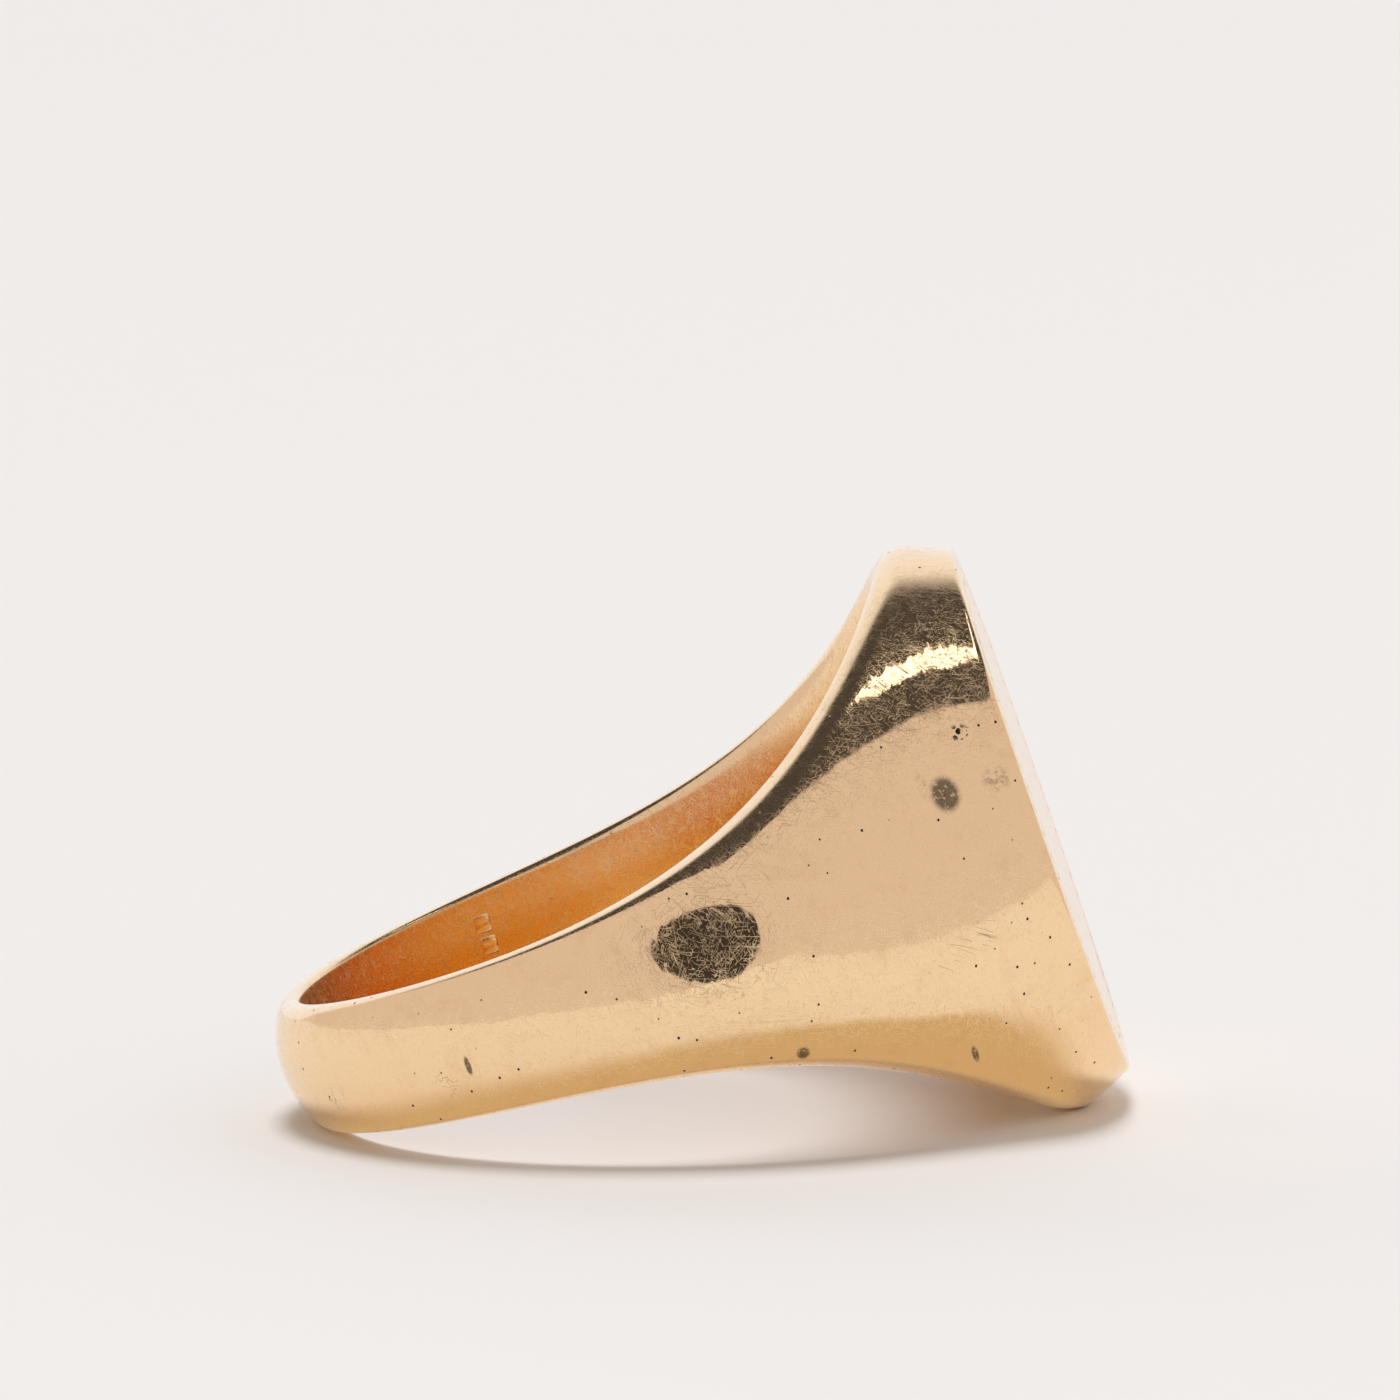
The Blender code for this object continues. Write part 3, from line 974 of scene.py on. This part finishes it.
# The ring's shade on the paper: a round patch, open in the middle and cut off along one side.
SHADE_SHEET = 80 * MM
SHADE_RISE = 0.02 * MM
SHADE_MIDDLE = (4.5 * MM, -3.0 * MM, 0.0)
SHADE_RADIUS = 14.6 * MM
SHADE_SOFTNESS = 1.2 * MM
SHADE_OPENING = 9.8 * MM
OPENING_SOFTNESS = 0.8 * MM
SHADE_SIDE = (0.68, 0.73, 0.0)
SHADE_SIDE_REACH = 5.2 * MM
SIDE_SOFTNESS = 1.0 * MM
SHADE_TINT = (0.63, 0.49, 0.315)
FLOOR_SIZE = 6.0


def add_floor():
    """A plain sheet of pale paper."""
    deselect_all()
    bpy.ops.mesh.primitive_plane_add(size=FLOOR_SIZE)
    floor = bpy.context.object
    floor.name = "paper_floor"
    floor.data.materials.append(paper())
    floor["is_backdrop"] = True


def way_to(azimuth, elevation):
    """The direction at an azimuth from the front and an elevation, both in degrees."""
    azimuth, elevation = math.radians(azimuth), math.radians(elevation)
    return Vector((
        math.sin(azimuth) * math.cos(elevation),
        -math.cos(azimuth) * math.cos(elevation),
        math.sin(elevation),
    ))


def add_softbox(name, direction, distance, size, brightness, tint):
    """A soft light of an even brightness, seen from the ring in a direction."""
    way = way_to(*direction)
    light = bpy.data.lights.new(name, "AREA")
    light.shape = "RECTANGLE"
    light.size, light.size_y = size
    light.energy = brightness * math.pi * size[0] * size[1]
    light.color = tint
    lamp = bpy.data.objects.new(name, light)
    bpy.context.scene.collection.objects.link(lamp)
    lamp.location = HOLE + way * distance
    lamp.rotation_euler = way.to_track_quat("Z", "Y").to_euler()


def add_broad_light(name, way, spread, power, tint):
    """A broad light from far away, which the metal doesn't mirror."""
    light = bpy.data.lights.new(name, "SUN")
    light.angle = spread
    light.energy = power
    light.color = tint
    lamp = bpy.data.objects.new(name, light)
    bpy.context.scene.collection.objects.link(lamp)
    lamp.rotation_euler = way_to(*way).to_track_quat("Z", "Y").to_euler()
    lamp.visible_glossy = False


def add_lights():
    """The light from overhead, a broad fill, and the softbox that the head mirrors."""
    add_broad_light("overhead", OVERHEAD_WAY, OVERHEAD_SPREAD, OVERHEAD_POWER, OVERHEAD_TINT)
    add_broad_light("fill", (0.0, 90.0), FILL_SPREAD, FILL_POWER, FILL_TINT)
    add_softbox("window_softbox", WINDOW_WAY, WINDOW_DISTANCE, WINDOW_SIZE, WINDOW_BRIGHTNESS,
                WINDOW_TINT)


def glow(name, tint):
    """A flat, even colour for a card that only the metal sees."""
    material = bpy.data.materials.new(name)
    nodes = Nodes(material)
    shader = nodes.add("ShaderNodeEmission", {"Color": (*tint, 1), "Strength": 1.0})
    nodes.add("ShaderNodeOutputMaterial", {"Surface": shader.outputs[0]})
    return material


def warm_shade():
    """The ring's own shade and golden glow on the paper round it, with soft edges."""
    material = bpy.data.materials.new("warm_shade")
    nodes = Nodes(material)
    place = nodes.add("ShaderNodeTexCoord").outputs["Object"]
    rounds = (
        (SHADE_MIDDLE, SHADE_RADIUS, SHADE_SOFTNESS),
        ((0, 0, 0), SHADE_OPENING, OPENING_SOFTNESS),
    )
    shades = []
    for middle, radius, soft in rounds:
        away = nodes.add("ShaderNodeVectorMath", {0: place, 1: middle}, operation="DISTANCE")
        shades.append(nodes.ramp(away.outputs["Value"], radius - soft, radius + soft, 1.0, 0.0))
    cover = nodes.times(shades[0], nodes.math("SUBTRACT", 1.0, shades[1]))
    past = nodes.add("ShaderNodeVectorMath", {0: place, 1: SHADE_SIDE}, operation="DOT_PRODUCT")
    near, far = SHADE_SIDE_REACH - SIDE_SOFTNESS, SHADE_SIDE_REACH + SIDE_SOFTNESS
    cover = nodes.times(cover, nodes.ramp(past.outputs["Value"], near, far, 1.0, 0.0))
    clear = nodes.add("ShaderNodeBsdfTransparent")
    shade = nodes.add("ShaderNodeEmission", {"Color": (*SHADE_TINT, 1), "Strength": 1.0})
    mixed = nodes.add("ShaderNodeMixShader", {0: cover, 1: clear.outputs[0], 2: shade.outputs[0]})
    nodes.add("ShaderNodeOutputMaterial", {"Surface": mixed.outputs[0]})
    return material


def stand_card(card, material):
    """Makes a card part of the studio, seen in the gold and nowhere else."""
    card.data.materials.append(material)
    card.visible_camera = False
    card.visible_diffuse = False
    card.visible_shadow = False
    card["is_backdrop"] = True


def add_grey_card():
    """The grey card along the front, which the polished side mirrors above the paper."""
    deselect_all()
    bpy.ops.mesh.primitive_plane_add(size=1.0)
    card = bpy.context.object
    card.name = "grey_card"
    run = Vector((math.sin(CARD_AZIMUTH), -math.cos(CARD_AZIMUTH), 0))
    start, end = CARD_ENDS
    for corner in card.data.vertices:
        along = start if corner.co.x < 0 else end
        rise = 0.0 if corner.co.y < 0 else CARD_HEIGHT
        corner.co = CARD_FOOT + run * along + Vector((0, 0, rise))
    stand_card(card, glow("grey_card", ROOM_TINT))


def add_lens():
    """The dark lens, which the side mirrors as an oval patch."""
    deselect_all()
    bpy.ops.mesh.primitive_circle_add(vertices=64, radius=1.0, fill_type="NGON")
    lens = bpy.context.object
    lens.name = "dark_lens"
    upright = Matrix.Rotation(math.radians(90), 3, "X") @ Matrix.Rotation(LENS_TILT, 3, "Z")
    for corner in lens.data.vertices:
        flat = Vector((corner.co.x * LENS_HALF[0], corner.co.y * LENS_HALF[1], 0))
        corner.co = LENS_MIDDLE + upright @ flat
    stand_card(lens, glow("dark_lens", LENS_TINT))


def add_shade():
    """The sheet just above the paper that carries the ring's shade."""
    deselect_all()
    bpy.ops.mesh.primitive_plane_add(size=SHADE_SHEET, location=(0, 0, SHADE_RISE))
    bpy.ops.object.transform_apply(location=True, rotation=True, scale=True)
    sheet = bpy.context.object
    sheet.name = "warm_shade"
    stand_card(sheet, warm_shade())


def add_world():
    """A room that is pinkish grey in front, pale behind and dark overhead in front."""
    world = bpy.data.worlds.new("pale_room")
    bpy.context.scene.world = world
    nodes = Nodes(world)
    way = nodes.add("ShaderNodeTexCoord").outputs["Generated"]
    split = nodes.add("ShaderNodeSeparateXYZ", {"Vector": way})
    edge = way_to(CEILING_AZIMUTH, 0) * CEILING_SLOPE
    above = nodes.add("ShaderNodeVectorMath", {0: way, 1: (-edge.x, -edge.y, 1.0)},
                      operation="DOT_PRODUCT")
    ceiling = nodes.ramp(above.outputs["Value"], 0.0, CEILING_SOFTNESS)
    in_front = nodes.ramp(split.outputs["Y"], *FRONT_TO_BACK, 1.0, 0.0)
    room = nodes.mix(in_front, (*BACK_TINT, 1), (*ROOM_TINT, 1))
    room = nodes.mix(nodes.times(ceiling, in_front), room, (*CEILING_TINT, 1))
    background = nodes.add("ShaderNodeBackground", {"Color": room, "Strength": 1.0})
    nodes.add("ShaderNodeOutputWorld", {"Surface": background.outputs[0]})


# The camera: how far it stands, where from, its long lens, and where the hole falls in the frame.
CAMERA_DISTANCE = 0.300
CAMERA_AZIMUTH = math.radians(1.75)
CAMERA_ELEVATION = math.radians(8.03)
CAMERA_ROLL = math.radians(-1.40)
CAMERA_LENS = 286.9
CAMERA_SENSOR = 36.0
HOLE_IN_FRAME = (-0.0430, -0.1752)


def add_camera():
    """The camera, aimed so that the hole's middle falls at its place in the frame."""
    data = bpy.data.cameras.new("camera")
    camera = bpy.data.objects.new("camera", data)
    bpy.context.scene.collection.objects.link(camera)
    bpy.context.scene.camera = camera
    data.lens = CAMERA_LENS
    data.sensor_width = CAMERA_SENSOR
    data.clip_start = 0.01
    back = Vector((
        math.sin(CAMERA_AZIMUTH) * math.cos(CAMERA_ELEVATION),
        -math.cos(CAMERA_AZIMUTH) * math.cos(CAMERA_ELEVATION),
        math.sin(CAMERA_ELEVATION),
    ))
    right = Vector((math.cos(CAMERA_AZIMUTH), math.sin(CAMERA_AZIMUTH), 0))
    facing = Matrix((right, back.cross(right), back)).transposed()
    reach = CAMERA_LENS / CAMERA_SENSOR
    aim = Vector((*HOLE_IN_FRAME, -reach)).normalized()
    swing = Vector((0, 0, -1)).rotation_difference(aim).to_matrix()
    turned = facing @ Matrix.Rotation(CAMERA_ROLL, 3, "Z") @ swing.inverted()
    camera.matrix_world = Matrix.Translation(HOLE + back * CAMERA_DISTANCE) @ turned.to_4x4()


class RING_PT_panel(bpy.types.Panel):
    """The ring's pieces and sizes in the sidebar."""

    bl_label = "Signet Ring"
    bl_space_type = "VIEW_3D"
    bl_region_type = "UI"
    bl_category = "Signet Ring"

    def draw(self, context):
        layout = self.layout
        for operator in PIECES:
            layout.operator(operator.bl_idname)
        for group in (context.scene.ring_sizes, context.scene.ring_looks):
            box = layout.box()
            for name in group.__annotations__:
                box.prop(group, name)


PIECES = (RING_OT_seal_plate, RING_OT_shoulders, RING_OT_shanks, RING_OT_studio)
CLASSES = (RingSizes, RingLooks, *PIECES, RING_PT_panel)


def register():
    for cls in CLASSES:
        bpy.utils.register_class(cls)
    bpy.types.Scene.ring_sizes = PointerProperty(type=RingSizes)
    bpy.types.Scene.ring_looks = PointerProperty(type=RingLooks)


def unregister():
    del bpy.types.Scene.ring_looks
    del bpy.types.Scene.ring_sizes
    for cls in reversed(CLASSES):
        bpy.utils.unregister_class(cls)


def main():
    register()
    bpy.context.scene.view_settings.view_transform = "Standard"
    bpy.ops.ring.seal_plate()
    bpy.ops.ring.shoulders()
    bpy.ops.ring.shanks()
    bpy.ops.ring.studio()
    deselect_all()
    boxes = {"cad": CAD_BOX, "visual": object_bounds()}
    boxes = {name: [list(corner) for corner in box] for name, box in boxes.items()}


if __name__ == "__main__":
    main()
